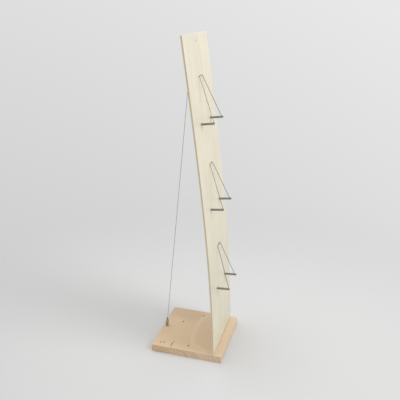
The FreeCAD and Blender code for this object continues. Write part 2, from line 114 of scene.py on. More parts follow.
def apply_modifiers(piece):
    graph = bpy.context.evaluated_depsgraph_get()
    made = bpy.data.meshes.new_from_object(piece.evaluated_get(graph))
    piece.modifiers.clear()
    piece.data = made


def cut_away(piece, tool):
    """Cut the tool's shape out of the piece, and take the tool away."""
    cut = piece.modifiers.new("cut", "BOOLEAN")
    cut.operation = "DIFFERENCE"
    cut.solver = "EXACT"
    cut.object = tool
    apply_modifiers(piece)
    bpy.data.objects.remove(tool)


def rounded(points, radii, steps, closed=True):
    """Points with each corner turned into an arc of its radius, where that isn't zero."""
    made = []
    count = len(points)
    for index, (corner, radius) in enumerate(zip(points, radii)):
        at_end = not closed and index in (0, count - 1)
        if radius == 0 or at_end:
            made.append(corner)
            continue
        inward = (points[index - 1] - corner).normalized()
        outward = (points[(index + 1) % count] - corner).normalized()
        half = inward.angle(outward) / 2
        centre = corner + (inward + outward).normalized() * radius / math.sin(half)
        start = corner + inward * radius / math.tan(half) - centre
        end = corner + outward * radius / math.tan(half) - centre
        sweep = start.angle(end)
        for step in range(steps + 1):
            share = step / steps
            mix = start * math.sin((1 - share) * sweep) + end * math.sin(share * sweep)
            made.append(centre + mix / math.sin(sweep))
    return made


# A corner nearer than this to a lathe's axis lies on it
ON_AXIS = 1e-9


def turned(name, outline, radii, place, sides=64, steps=4):
    """A lathe-turned piece. The outline holds (radius, height) corners round the section."""
    corners = [Vector((radius, height, 0)) for radius, height in outline]
    section = rounded(corners, radii, steps)
    vertices = []
    rings = []
    for spot in section:
        if spot.x < ON_AXIS:
            rings.append([len(vertices)])
            vertices.append(place @ Vector((0, 0, spot.y)))
            continue
        ring = []
        for side in range(sides):
            angle = 2 * math.pi * side / sides
            ring.append(len(vertices))
            around = Vector((spot.x * math.cos(angle), spot.x * math.sin(angle), spot.y))
            vertices.append(place @ around)
        rings.append(ring)
    faces = []
    for ring, after in zip(rings, rings[1:] + rings[:1]):
        for side in range(sides):
            corner = [ring[side % len(ring)], ring[(side + 1) % len(ring)],
                      after[(side + 1) % len(after)], after[side % len(after)]]
            face = list(dict.fromkeys(corner))
            if len(face) > 2:
                faces.append(face)
    return new_piece(name, vertices, faces)


def smooth(piece, sharp_over=34):
    """Smooth shading that keeps true edges sharp and flat faces flat."""
    piece.data.shade_smooth()
    piece.data.set_sharp_from_angle(angle=math.radians(sharp_over))
    weighted = piece.modifiers.new("weighted_normals", "WEIGHTED_NORMAL")
    weighted.keep_sharp = True
    weighted.weight = 100


# A block's six faces, where its corners run along Z fastest and along X slowest
BLOCK_FACES = [(0, 1, 3, 2), (4, 6, 7, 5), (0, 4, 5, 1), (2, 3, 7, 6), (0, 2, 6, 4), (1, 5, 7, 3)]


def rounded_board(name, corner_a, corner_b, arris):
    piece = new_piece(name, [
        (x, y, z)
        for x in (corner_a.x, corner_b.x)
        for y in (corner_a.y, corner_b.y)
        for z in (corner_a.z, corner_b.z)
    ], BLOCK_FACES)
    bevel = piece.modifiers.new("arris", "BEVEL")
    bevel.width = arris
    bevel.segments = 4
    apply_modifiers(piece)
    return piece


def foot_frame(side, back, up):
    """A place by the panel's foot, leaning as the foot does: X to the side, Y back, Z up."""
    lean = Matrix.Rotation(-FOOT_LEAN, 4, "X")
    shift = Matrix.Translation((side, back, up))
    return Matrix.Translation(foot_point) @ lean @ shift


def foot_block(name, sides, backs, ups):
    """A block that leans as the foot does, for cutting."""
    corners = [foot_frame(x, back, up).translation for x in sides for back in backs for up in ups]
    return new_piece(name, corners, BLOCK_FACES)


def slot_tool():
    end = base_high.x - TONGUE_INSET + SLOT_GAP
    return foot_block("slot_tool", (-end, end), (-SLOT_GAP, PANEL_THICKNESS), (-SLOT_DEPTH, OVERRUN))


def drill(place, outline):
    """A tool turned about a place's Z axis, from (radius, height) corners, for cutting."""
    return turned("drill", outline, [0] * len(outline), place, sides=48)


def plain_drill(place, radius, start, end):
    return drill(place, [(0, start), (radius, start), (radius, end), (0, end)])


def fixing_hole_tool(side):
    mouth = FIXING_HOLE_RADIUS + HOLE_ARRIS
    outline = [
        (0, base_low.z - OVERRUN),
        (mouth + OVERRUN, base_low.z - OVERRUN),
        (FIXING_HOLE_RADIUS, base_low.z + HOLE_ARRIS),
        (FIXING_HOLE_RADIUS, BASE_TOP - HOLE_ARRIS),
        (mouth + OVERRUN, BASE_TOP + OVERRUN),
        (0, BASE_TOP + OVERRUN),
    ]
    return drill(Matrix.Translation((side * FIXING_HOLES / 2, 0, 0)), outline)


# The cable's line is needed for the bore: it runs in the plane X = 0 along the
# axis that the tensioner turns about.
joints = {joint["name"]: joint for joint in frame["joints"]}
cable_foot = Vector(joints["tensioner_turn"]["pos_m"])
cable_direction = Vector(joints["tensioner_turn"]["axis"])
INSERT_RADIUS = 4.5 * MM
INSERT_DEPTH = 16.8 * MM


def cable_frame(distance):
    """A place on the cable's line, Z along it, counted from the base's top."""
    lean = math.atan2(-cable_direction.y, cable_direction.z)
    spot = cable_foot + cable_direction * distance
    return Matrix.Translation(spot) @ Matrix.Rotation(lean, 4, "X")


base_board = rounded_board("beech_base", base_low, base_high, BASE_ARRIS)
cut_away(base_board, slot_tool())
for side in (-1, 1):
    cut_away(base_board, fixing_hole_tool(side))
cut_away(base_board, plain_drill(cable_frame(0), INSERT_RADIUS, -INSERT_DEPTH, OVERRUN))
smooth(base_board)


def node_adder(tree):
    """A function that adds a node to a tree, fills or links its sockets and gives its output."""
    def add(kind, sockets, output=0, **settings):
        made = tree.nodes.new(kind)
        for key, setting in settings.items():
            setattr(made, key, setting)
        for key, source in sockets.items():
            if isinstance(source, bpy.types.NodeSocket):
                tree.links.new(source, made.inputs[key])
            else:
                made.inputs[key].default_value = source
        return made.outputs[output]

    return add


def new_material(name, metallic=0.0):
    """A named material, a function that adds nodes to it, and one that links them to its shader."""
    material = bpy.data.materials.new(name)
    material.use_nodes = True
    tree = material.node_tree
    shader = tree.nodes["Principled BSDF"]
    shader.inputs["Metallic"].default_value = metallic

    def finish(**sockets):
        for key, source in sockets.items():
            tree.links.new(source, shader.inputs[key.replace("_", " ")])

    return material, node_adder(tree), finish


def number(add, operation, *values):
    """A sum on numbers."""
    return add("ShaderNodeMath", dict(enumerate(values)), operation=operation)


def vector(add, operation, *values, output="Vector"):
    """A sum on places or colours."""
    return add("ShaderNodeVectorMath", dict(enumerate(values)), output=output, operation=operation)


def spread(add, source, given, wanted=(0.0, 1.0), kind="LINEAR"):
    """A number carried from one range to another, and held at the ends."""
    return add("ShaderNodeMapRange", {
        "Value": source, "From Min": given[0], "From Max": given[1],
        "To Min": wanted[0], "To Max": wanted[1],
    }, interpolation_type=kind)


def scaled(add, colour, tone):
    return add("ShaderNodeVectorMath", {0: colour, "Scale": tone}, operation="SCALE")


# The part of its range that a noise mostly fills, and a wider one for a softer change
NOISE_SPAN = (0.3, 0.7)
WIDE_SPAN = (0.25, 0.75)


def toned(add, colour, noise, given, shares):
    """A colour made darker and paler by a noise, between two shares of its own tone."""
    return scaled(add, colour, spread(add, noise, given, shares))


def ramp(add, source, stops):
    """A colour ramp over a grey source; stops hold (place, grey)."""
    made = add("ShaderNodeValToRGB", {"Fac": source})
    band = made.node.color_ramp
    for index, (place, grey) in enumerate(stops):
        stop = band.elements[index] if index < 2 else band.elements.new(place)
        stop.position = place
        stop.color = (grey, grey, grey, 1)
    return made


def stretched(add, place, per_metre, detail, roughness=0.5, distortion=0.0):
    """Noise whose grains are stretched: so many fit in a metre along X, Y and Z."""
    spot = vector(add, "MULTIPLY", place, per_metre)
    return add("ShaderNodeTexNoise", {
        "Vector": spot, "Scale": 1.0, "Detail": detail,
        "Roughness": roughness, "Distortion": distortion,
    })


def colour_mix(add, share, first, second):
    """One colour turning into another; 6 and 7 are this node's sockets for colours."""
    return add("ShaderNodeMix", {0: share, 6: first, 7: second}, output=2, data_type="RGBA")


def bump(add, height, strength, distance):
    return add("ShaderNodeBump", {"Height": height, "Strength": strength, "Distance": distance})


def dress(piece, finish, body, node):
    """Give a piece its finish, hang it on the body it rides on, and hide the solid it stands for."""
    piece.data.materials.append(finish)
    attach(piece, body)
    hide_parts(node)


# Beech: warm tan with faint growth rings about a heart below the board, short
# dark ray flecks along the grain, browner end grain on the left and right
# faces, and a few marks of its own. Painted onto it as well: shade on the walls
# of the holes, bore and slot, the panel's shadow on the top with a band of light
# beyond it, and light from the front lamp paling the board's front.
BEECH_LIGHT = (0.655, 0.490, 0.322, 1)
BEECH_DARK = (0.618, 0.456, 0.293, 1)
BEECH_FLECK = (0.400, 0.250, 0.145, 1)
BEECH_MARK = (0.090, 0.052, 0.028, 1)
BEECH_PAINTED_LIGHT = (0.700, 0.560, 0.395, 1)
BEECH_SHADE = (0.525, 0.385, 0.250, 1)
BEECH_RECESS_SHADE = (0.030, 0.020, 0.012, 1)
BEECH_ROUGHNESS = (0.44, 0.62)
END_GRAIN_TINT = (1.06, 1.03, 0.99)
END_GRAIN_DEPTH = 0.5 * MM
# Painted light from the front lamp: the board's front is painted paler and less
# warm. The paling begins at one place back from the board's middle and is full
# at the other, on the end grain and on the long-grain faces
FRONT_LIGHT_TINT = (1.09, 1.13, 1.20)
FRONT_LIGHT_ON_END_GRAIN = (90 * MM, -20 * MM)
FRONT_LIGHT_ON_LONG_GRAIN = (-88 * MM, -114 * MM)
END_STREAK_WIDTH = 9 * MM
END_STREAK_LENGTH = 90 * MM
HEART_OFFSET = 40 * MM
HEART_DROP = 75 * MM
HEART_SLOPE = 0.16
HEART_WANDER = 30 * MM
RING_WIDTH = 3.4 * MM
# Where the painted shade on the walls of holes, bore and slot begins: down from
# the top or up from the underside, and well in from the board's four edges
RECESS_SHADE_START = 0.15 * MM
RECESS_SHADE_FULL = 0.35 * MM
RECESS_SHADE_INSET = 1.8 * MM
# Marks on the top, in millimetres: two ends of each, and its half width. Their
# rims are soft over a share of that width, and ragged, so many times a metre
MARK_SOFTNESS = 0.35
MARK_RAGGEDNESS = 700.0
BEECH_MARKS = [
    ((44, 69), (45.5, 69.5), 2.7),
    ((-119, 99.5), (-111, 99), 1.5),
    ((-121, 112), (-112, 111), 1.3),
    ((-140, 64), (-118, 66), 0.7),
    ((-122, 66), (-114, 65), 1.6),
    ((-118, 66), (-98, 62), 0.7),
]
# Painted light and shade on the top: a pale band of painted light that wanders
# across it, the panel's painted shadow between the panel and that band, and the
# top made darker at the rear
PAINTED_LIGHT_BAND = [(94, -2), (52, 5), (-1, 5), (-50, 1), (-89, -9), (-104, -30), (-124, -72)]
PAINTED_LIGHT_BAND_WIDTH = 4.5
PAINTED_LIGHT_BAND_SOFTNESS = 1.4
PAINTED_LIGHT_BAND_SHARE = 0.45
PAINTED_PANEL_SHADOW = [(50, -40), (-30, -46), (-70, -52)]
PAINTED_PANEL_SHADOW_SHARE = 0.22
DARKER_AT_REAR = [(118, 112), (106, 45)]
DARKER_AT_REAR_SHARE = 0.68
DARK_BAND_WIDTH = 24
DARK_BAND_SOFTNESS = 1.8


def mark_share(add, place, start, end, half_width, softness):
    """How much a mark between two points of the top shows at a place.

    It is full within its half width, and gone beyond that by the softness times it.
    """
    start = Vector((start[0] * MM, start[1] * MM, 0))
    end = Vector((end[0] * MM, end[1] * MM, 0))
    run = end - start
    full = half_width * MM
    flat = vector(add, "MULTIPLY", place, (1, 1, 0))
    offset = vector(add, "SUBTRACT", flat, tuple(start))
    dot = vector(add, "DOT_PRODUCT", offset, tuple(run / run.length_squared), output="Value")
    held = add("ShaderNodeClamp", {"Value": dot})
    nearest = scaled(add, tuple(run), held)
    offset = vector(add, "SUBTRACT", offset, nearest)
    distance = vector(add, "LENGTH", offset, output="Value")
    ragged = add("ShaderNodeTexNoise", {"Vector": place, "Scale": MARK_RAGGEDNESS, "Detail": 2.0})
    ragged = number(add, "SUBTRACT", ragged, 0.5)
    wavy = number(add, "MULTIPLY_ADD", ragged, full * softness, distance)
    return spread(add, wavy, (full * (1 + softness), full), kind="SMOOTHSTEP")


def all_marks(add, place, marks, softness):
    """The largest share of several marks; each holds its ends and half width."""
    whole = None
    for start, end, half_width in marks:
        share = mark_share(add, place, start, end, half_width, softness)
        if whole is None:
            whole = share
        else:
            whole = number(add, "MAXIMUM", whole, share)
    return whole


def drawn_line(points, half_width):
    """A wandering line as marks from each point to the next."""
    return [(start, end, half_width) for start, end in zip(points, points[1:])]


def heart_places(add, place):
    """The place across and up from the tree's heart, which lies below the board and slopes."""
    wander = stretched(add, place, per_metre=(5, 11, 11), detail=2.0)
    wander = number(add, "SUBTRACT", wander, 0.5)
    split = add("ShaderNodeSeparateXYZ", {"Vector": place}).node
    across = number(add, "MULTIPLY_ADD", wander, HEART_WANDER, split.outputs["Y"])
    across = number(add, "SUBTRACT", across, HEART_OFFSET)
    rise = number(add, "MULTIPLY_ADD", split.outputs["X"], HEART_SLOPE, HEART_DROP)
    rise = number(add, "ADD", rise, split.outputs["Z"])
    spoke = add("ShaderNodeCombineXYZ", {"X": across, "Y": rise})
    radius = vector(add, "LENGTH", spoke, output="Value")
    return across, radius


def growth_rings(add, radius):
    turns = number(add, "DIVIDE", radius, RING_WIDTH)
    return number(add, "FRACT", turns)


def end_streaks(add, across, radius):
    """Broad darker and paler streaks that follow the rings on the end grain."""
    along = number(add, "DIVIDE", across, END_STREAK_LENGTH)
    outward = number(add, "DIVIDE", radius, END_STREAK_WIDTH)
    spot = add("ShaderNodeCombineXYZ", {"X": along, "Y": outward})
    noise = add("ShaderNodeTexNoise", {"Vector": spot, "Scale": 1.0, "Detail": 3.0})
    return spread(add, noise, NOISE_SPAN, (0.84, 1.10))


def recess_shade_share(add, place):
    """How much painted shade a place gets for lying inside the board, on the wall of a hole, bore or
    slot.
    """
    middle = (base_low + base_high) / 2
    half = (base_high - base_low) / 2
    offset = vector(add, "SUBTRACT", place, tuple(middle))
    offset = vector(add, "ABSOLUTE", offset)
    inset = half - Vector((RECESS_SHADE_INSET, RECESS_SHADE_INSET, 0))
    inward = vector(add, "SUBTRACT", tuple(inset), offset)
    split = add("ShaderNodeSeparateXYZ", {"Vector": inward}).node
    nearest = number(add, "MINIMUM", split.outputs["X"], split.outputs["Y"])
    nearest = number(add, "MINIMUM", nearest, split.outputs["Z"])
    return spread(add, nearest, (RECESS_SHADE_START, RECESS_SHADE_FULL))


def end_grain_share(add, place):
    """How much a place lies on the board's left or right face."""
    split = add("ShaderNodeSeparateXYZ", {"Vector": place}).node
    side = number(add, "ABSOLUTE", split.outputs["X"])
    return spread(add, side, (base_high.x - END_GRAIN_DEPTH, base_high.x))


def painted_front_light(add, place, colour, start, full):
    """Painted light: a colour made paler and less warm towards the board's front, as lit from the
    front lamp, from one place back to another.
    """
    split = add("ShaderNodeSeparateXYZ", {"Vector": place}).node
    share = spread(add, split.outputs["Y"], (start, full), kind="SMOOTHSTEP")
    paler = vector(add, "MULTIPLY", colour, FRONT_LIGHT_TINT)
    return colour_mix(add, share, colour, paler)


def beech():
    material, add, finish = new_material("beech")
    place = add("ShaderNodeTexCoord", {}, output="Object")
    across, radius = heart_places(add, place)
    rings = growth_rings(add, radius)
    broad = stretched(add, place, per_metre=(3, 7, 9), detail=2.0)
    fibre = stretched(add, place, per_metre=(70, 1500, 1500), detail=3.0, roughness=0.6)
    late_wood = ramp(add, rings, [(0.10, 0.0), (0.80, 0.55), (0.96, 1.0), (1.0, 0.0)])
    colour = colour_mix(add, late_wood, BEECH_LIGHT, BEECH_DARK)
    colour = toned(add, colour, broad, NOISE_SPAN, (0.96, 1.04))
    end_tinted = vector(add, "MULTIPLY", colour, END_GRAIN_TINT)
    streaks = end_streaks(add, across, radius)
    end_tinted = scaled(add, end_tinted, streaks)
    # Painted light from the front lamp, paling the board's front on the end grain and the long-grain
    # faces
    end_tinted = painted_front_light(add, place, end_tinted, *FRONT_LIGHT_ON_END_GRAIN)
    colour = painted_front_light(add, place, colour, *FRONT_LIGHT_ON_LONG_GRAIN)
    colour = colour_mix(add, end_grain_share(add, place), colour, end_tinted)

    # Painted shade: the panel's shadow on the top, between the panel and the band of light; and the
    # top made darker at the rear
    dark_bands = [(PAINTED_PANEL_SHADOW, PAINTED_PANEL_SHADOW_SHARE), (DARKER_AT_REAR, DARKER_AT_REAR_SHARE)]
    for line, strength in dark_bands:
        brown = all_marks(add, place, drawn_line(line, DARK_BAND_WIDTH), DARK_BAND_SOFTNESS)
        brown = number(add, "MULTIPLY", brown, strength)
        colour = colour_mix(add, brown, colour, BEECH_SHADE)
    # Painted light: a pale band along the edge of the panel's painted shadow
    pale = all_marks(add, place, drawn_line(PAINTED_LIGHT_BAND, PAINTED_LIGHT_BAND_WIDTH), PAINTED_LIGHT_BAND_SOFTNESS)
    pale = number(add, "MULTIPLY", pale, PAINTED_LIGHT_BAND_SHARE)
    colour = colour_mix(add, pale, colour, BEECH_PAINTED_LIGHT)

    colour = toned(add, colour, fibre, WIDE_SPAN, (0.95, 1.04))
    fleck_noise = stretched(add, place, per_metre=(210, 1150, 420), detail=1.0)
    flecks = ramp(add, fleck_noise, [(0.66, 0.0), (0.73, 0.6)])
    colour = colour_mix(add, flecks, colour, BEECH_FLECK)
    colour = colour_mix(add, all_marks(add, place, BEECH_MARKS, MARK_SOFTNESS), colour, BEECH_MARK)
    # Painted shade on the walls of the holes, bore and slot, which lie inside the board
    colour = colour_mix(add, recess_shade_share(add, place), colour, BEECH_RECESS_SHADE)
    pores = bump(add, fibre, strength=0.18, distance=0.25 * MM)
    rough = spread(add, fibre, (0.0, 1.0), BEECH_ROUGHNESS)
    finish(Base_Color=colour, Normal=pores, Roughness=rough)
    return material


dress(base_board, beech(), "stand", "base_plate")


# The panel is one sheet of five-ply birch, 6.5 mm thick and lacquered. Its
# tongue is glued into the slot with a shoulder on the base at each end, and the
# cable draws it back into a curve, tightest at the foot and straight at the top.
PANEL_LENGTH = 1177 * MM
PANEL_BEND = math.radians(6.6)
PANEL_ARRIS = 0.5 * MM
PANEL_STATIONS = 118
PANEL_EDGE_STEPS = 3
STEPS_PER_STATION = 10
walk = np.linspace(0, PANEL_LENGTH, STEPS_PER_STATION * PANEL_STATIONS + 1)
walk_lean = FOOT_LEAN + PANEL_BEND * (2 * walk / PANEL_LENGTH - (walk / PANEL_LENGTH) ** 2)
walk_middle = (walk_lean[1:] + walk_lean[:-1]) / 2
walk_step = np.diff(walk)
walk_y = foot_point.y + np.concatenate([[0], np.cumsum(np.sin(walk_middle) * walk_step)])
walk_z = foot_point.z + np.concatenate([[0], np.cumsum(np.cos(walk_middle) * walk_step)])


def panel_lean(distance):
    return float(np.interp(distance, walk, walk_lean))


def panel_point(side, distance, depth):
    """A point of the sheet: across it, up its front face, and in from that face."""
    lean = panel_lean(distance)
    below = min(distance, 0)
    y = float(np.interp(distance, walk, walk_y)) + below * math.sin(lean)
    z = float(np.interp(distance, walk, walk_z)) + below * math.cos(lean)
    return Vector((side, y + depth * math.cos(lean), z - depth * math.sin(lean)))


def panel_frame(distance, side, depth):
    """A place on the sheet: X to the side, Y up the sheet, Z out of its front."""
    turn = Matrix.Rotation(math.pi / 2 - panel_lean(distance), 4, "X")
    return Matrix.Translation(panel_point(side, distance, depth)) @ turn


def ringed(name, vertices, rings, sides):
    """A piece made of rings of vertices, each with as many sides, and closed at both ends."""
    faces = [list(range(sides))]
    for ring in range(rings - 1):
        for side in range(sides):
            after = (side + 1) % sides
            faces.append([ring * sides + side, ring * sides + after,
                          (ring + 1) * sides + after, (ring + 1) * sides + side])
    faces.append([(rings - 1) * sides + side for side in range(sides)])
    return new_piece(name, vertices, faces)


def bent_sheet():
    """Rings round the sheet from its foot to its top, with small rounds on every edge."""
    half_width = base_high.x
    section = rounded([
        Vector((-half_width, 0, 0)),
        Vector((half_width, 0, 0)),
        Vector((half_width, PANEL_THICKNESS, 0)),
        Vector((-half_width, PANEL_THICKNESS, 0)),
    ], [PANEL_ARRIS] * 4, steps=PANEL_EDGE_STEPS)
    middle = Vector((0, PANEL_THICKNESS / 2, 0))
    heights = [(-SLOT_DEPTH, 0)]
    spacing = PANEL_LENGTH / PANEL_STATIONS
    heights += [(spacing * index, 0) for index in range(PANEL_STATIONS)]
    for step in range(PANEL_EDGE_STEPS + 1):
        angle = math.pi / 2 * step / PANEL_EDGE_STEPS
        heights.append((PANEL_LENGTH - PANEL_ARRIS * (1 - math.sin(angle)),
                        PANEL_ARRIS * (1 - math.cos(angle))))
    vertices = []
    for distance, inset in heights:
        for spot in section:
            offset = spot - middle
            across = math.copysign(max(abs(offset.x) - inset, 0), offset.x)
            depth = math.copysign(max(abs(offset.y) - inset, 0), offset.y) + middle.y
            vertices.append(panel_point(across, distance, depth))
    return ringed("bent_panel", vertices, len(heights), len(section))


ROD_SPACING = 121 * MM
LOWEST_ROD = 247 * MM
LOWER_ROD_PITCH = 319 * MM
UPPER_ROD_PITCH = 312 * MM
LEVELS = {"bottom": 0, "middle": 1, "top": 2}
SIDES = {"left": -1, "right": 1}
SCREW_HOLE_RADIUS = 2.2 * MM
POST_DROP = 25 * MM
POST_HEIGHT = PANEL_LENGTH - POST_DROP
POST_SCREW_RADIUS = 2 * MM
POST_SCREW_HEAD = 3.8 * MM
POST_SCREW_HEAD_DEPTH = 2.2 * MM
SCREW_GAP = 0.2 * MM


def rod_frame(level, side, depth=0.0):
    pitches = [LOWER_ROD_PITCH, UPPER_ROD_PITCH]
    height = LOWEST_ROD + sum(pitches[:LEVELS[level]])
    return panel_frame(height, SIDES[side] * ROD_SPACING / 2, depth)


def shoulder_tool(side):
    """The block cut off one end of the foot, below the base's top, to leave the tongue."""
    sides = (side * (base_high.x - TONGUE_INSET), side * (base_high.x + OVERRUN))
    block = foot_block("shoulder_tool", sides, (-OVERRUN, PANEL_THICKNESS + OVERRUN),
                       (-SLOT_DEPTH - OVERRUN, OVERRUN))
    for vertex in block.data.vertices:
        vertex.co.z = min(vertex.co.z, BASE_TOP)
    return block


bent_panel = bent_sheet()
for side in (-1, 1):
    cut_away(bent_panel, shoulder_tool(side))
through = PANEL_THICKNESS + OVERRUN
for level in LEVELS:
    for side in SIDES:
        screw_hole = plain_drill(rod_frame(level, side), SCREW_HOLE_RADIUS, -through, OVERRUN)
        cut_away(bent_panel, screw_hole)
cut_away(bent_panel, drill(panel_frame(POST_HEIGHT, 0, 0), [
    (0, -through),
    (POST_SCREW_RADIUS + SCREW_GAP, -through),
    (POST_SCREW_RADIUS + SCREW_GAP, -POST_SCREW_HEAD_DEPTH),
    (POST_SCREW_HEAD + SCREW_GAP, 0),
    (POST_SCREW_HEAD + SCREW_GAP, OVERRUN),
    (0, OVERRUN),
]))
smooth(bent_panel)


def vertex_places(piece):
    spots = np.zeros(len(piece.data.vertices) * 3)
    piece.data.vertices.foreach_get("co", spots)
    return spots.reshape(-1, 3)


def note_places(piece, own):
    """Keep a place for each vertex, for its finish to read."""
    places = piece.data.attributes.new("own_place", "FLOAT_VECTOR", "POINT")
    places.data.foreach_set("vector", own.astype(np.float32).ravel())


# Each repeat moves a vertex's distance up the sheet nearer to its true one
SHEET_REPEATS = 6


def note_sheet_places(piece):
    """Each vertex's place in the flat sheet, for the grain and the plies at its edges."""
    spots = vertex_places(piece)
    distance = spots[:, 2] - foot_point.z
    for repeat in range(SHEET_REPEATS):
        held = np.clip(distance, 0, PANEL_LENGTH)
        lean = np.interp(held, walk, walk_lean)
        over = distance - held
        y = np.interp(held, walk, walk_y) + over * np.sin(lean)
        z = np.interp(held, walk, walk_z) + over * np.cos(lean)
        off_y = spots[:, 1] - y
        off_z = spots[:, 2] - z
        distance = distance + off_y * np.sin(lean) + off_z * np.cos(lean)
    depth = off_y * np.cos(lean) - off_z * np.sin(lean)
    note_places(piece, np.stack([spots[:, 0], distance, depth], axis=1))


# Birch ply: cream face veneer with a fine wavy grain up the sheet and small
# brown flecks. The edges show five plies, the cross plies darker end grain, and
# the tongue carries painted shade, near black, from just below the base's top,
# for the dark gap along the slot.
SLOT_SHADE_FULL = 0.3 * MM
PAINTED_SLOT_SHADE = (0.060, 0.040, 0.025, 1)
BIRCH_LIGHT = (0.745, 0.700, 0.555, 1)
BIRCH_DARK = (0.705, 0.652, 0.505, 1)
BIRCH_FLECK = (0.400, 0.300, 0.190, 1)
PLY_LONG = (0.800, 0.705, 0.530, 1)
PLY_CROSS = (0.550, 0.455, 0.320, 1)
PLY_GLUE = (0.300, 0.215, 0.135, 1)
PLY_ROUGHNESS = (0.36, 0.50)
PLY_LAYERS = 5
# A glue line starts and is full at these distances from the middle of a ply,
# in plies, and the edge gives way to the faces between these depths
GLUE_RISE = (0.46, 0.50)
GLUE_SHARE = 0.8
FACE_SKIN = (0.12 * MM, 0.02 * MM)


def birch_ply():
    material, add, finish = new_material("birch_ply")
    own = add("ShaderNodeAttribute", {}, output="Vector", attribute_name="own_place")
    split = add("ShaderNodeSeparateXYZ", {"Vector": own}).node
    figure = stretched(add, own, per_metre=(46, 3.2, 20), detail=2.5, roughness=0.55, distortion=0.9)
    mottle = stretched(add, own, per_metre=(9, 5, 5), detail=2.0)
    fibre = stretched(add, own, per_metre=(1300, 40, 300), detail=3.0, roughness=0.6)
    bands = ramp(add, figure, [(0.34, 0.0), (0.70, 1.0)])
    face = colour_mix(add, bands, BIRCH_LIGHT, BIRCH_DARK)
    face = toned(add, face, mottle, NOISE_SPAN, (0.95, 1.03))
    face = toned(add, face, fibre, WIDE_SPAN, (0.96, 1.03))
    fleck_noise = stretched(add, own, per_metre=(520, 65, 520), detail=1.0)
    flecks = ramp(add, fleck_noise, [(0.70, 0.0), (0.78, 0.55)])
    face = colour_mix(add, flecks, face, BIRCH_FLECK)

    layer = number(add, "MULTIPLY", split.outputs["Z"], PLY_LAYERS / PANEL_THICKNESS)
    odd = number(add, "FLOORED_MODULO", layer, 2.0)
    cross = number(add, "GREATER_THAN", odd, 1.0)
    in_layer = number(add, "FRACT", layer)
    from_line = number(add, "SUBTRACT", in_layer, 0.5)
    from_line = number(add, "ABSOLUTE", from_line)
    glue = spread(add, from_line, GLUE_RISE, (0.0, GLUE_SHARE))
    edge_fibre = stretched(add, own, per_metre=(900, 180, 900), detail=3.0, roughness=0.65)
    edge = colour_mix(add, cross, PLY_LONG, PLY_CROSS)
    edge = colour_mix(add, glue, edge, PLY_GLUE)
    edge = toned(add, edge, edge_fibre, WIDE_SPAN, (0.82, 1.12))

    # The faces are where the depth is at the sheet's front or back
    off_middle = number(add, "SUBTRACT", split.outputs["Z"], PANEL_THICKNESS / 2)
    off_middle = number(add, "ABSOLUTE", off_middle)
    skin = [PANEL_THICKNESS / 2 - depth for depth in FACE_SKIN]
    on_edge = spread(add, off_middle, skin, (1.0, 0.0))
    colour = colour_mix(add, on_edge, face, edge)
    # Painted shade: the sheet below the base's top goes near black, for the dark gap along the slot
    in_slot_shade = spread(add, split.outputs["Y"], (0.0, -SLOT_SHADE_FULL))
    colour = colour_mix(add, in_slot_shade, colour, PAINTED_SLOT_SHADE)
    grain = bump(add, fibre, strength=0.10, distance=0.2 * MM)
    rough = spread(add, fibre, (0.0, 1.0), PLY_ROUGHNESS)
    finish(Base_Color=colour, Normal=grain, Roughness=rough)
    return material


note_sheet_places(bent_panel)
dress(bent_panel, birch_ply(), "stand", "back_panel")


# Six plain steel rods, 8 mm thick, stand square to the panel's face in pairs.
# Each is turned, tapped at its root for the screw from behind, and
# cross-drilled near the tip for the retainer's end.
ROD_RADIUS = 4 * MM
ROD_REACH = 48 * MM
ROD_TIP_ROUND = 0.5 * MM
PINTLE_SETBACK = 3.5 * MM
PINTLE_HOLE_RADIUS = 1.07 * MM
ROD_BORE_RADIUS = 2.05 * MM
ROD_BORE_DEPTH = 11 * MM


def note_own_places(piece, place):
    """Each vertex's place from the piece's own axis, for marks left by its making."""
    back = np.array(place.inverted())
    note_places(piece, vertex_places(piece) @ back[:3, :3].T + back[:3, 3])


# How rough turned metal is where it is most and least polished, as shares
TURNED_ROUGHNESS_SHARES = (0.8, 1.25)


def turned_metal(name, colour, roughness):
    """Metal with the fine rings of turning round it, and faint handling marks."""
    material, add, finish = new_material(name, metallic=1.0)
    own = add("ShaderNodeAttribute", {}, output="Vector", attribute_name="own_place")
    rings = stretched(add, own, per_metre=(40, 40, 5200), detail=2.0, roughness=0.7)
    wear = stretched(add, own, per_metre=(160, 160, 60), detail=4.0, roughness=0.6)
    shade = toned(add, colour, wear, NOISE_SPAN, (0.88, 1.06))
    rough = spread(add, wear, WIDE_SPAN, [roughness * share for share in TURNED_ROUGHNESS_SHARES])
    lathe = bump(add, rings, strength=0.12, distance=0.04 * MM)
    finish(Base_Color=shade, Roughness=rough, Normal=lathe)
    return material


def cross_hole(radius, reach, place):
    """A drill along the X axis of a place."""
    along_x = place @ Matrix.Rotation(math.pi / 2, 4, "Y")
    return plain_drill(along_x, radius, -reach, reach)


def support_rod(level, side, finish):
    name = "%s_%s_rod" % (level, side)
    place = rod_frame(level, side)
    rod = turned(name + "_turned", [
        (0, ROD_BORE_DEPTH),
        (ROD_BORE_RADIUS, ROD_BORE_DEPTH),
        (ROD_BORE_RADIUS, 0),
        (ROD_RADIUS, 0),
        (ROD_RADIUS, ROD_REACH),
        (0, ROD_REACH),
    ], [0, 0, 0, 0.15 * MM, ROD_TIP_ROUND, 0], place)
    pintle = place @ Matrix.Translation((0, 0, ROD_REACH - PINTLE_SETBACK))
    cut_away(rod, cross_hole(PINTLE_HOLE_RADIUS, ROD_RADIUS + OVERRUN, pintle))
    smooth(rod)
    note_own_places(rod, place)
    dress(rod, finish, "stand", name)


rod_finish = turned_metal("rod_steel", colour=(0.28, 0.27, 0.255), roughness=0.34)
for level in LEVELS:
    for side in SIDES:
        support_rod(level, side, rod_finish)


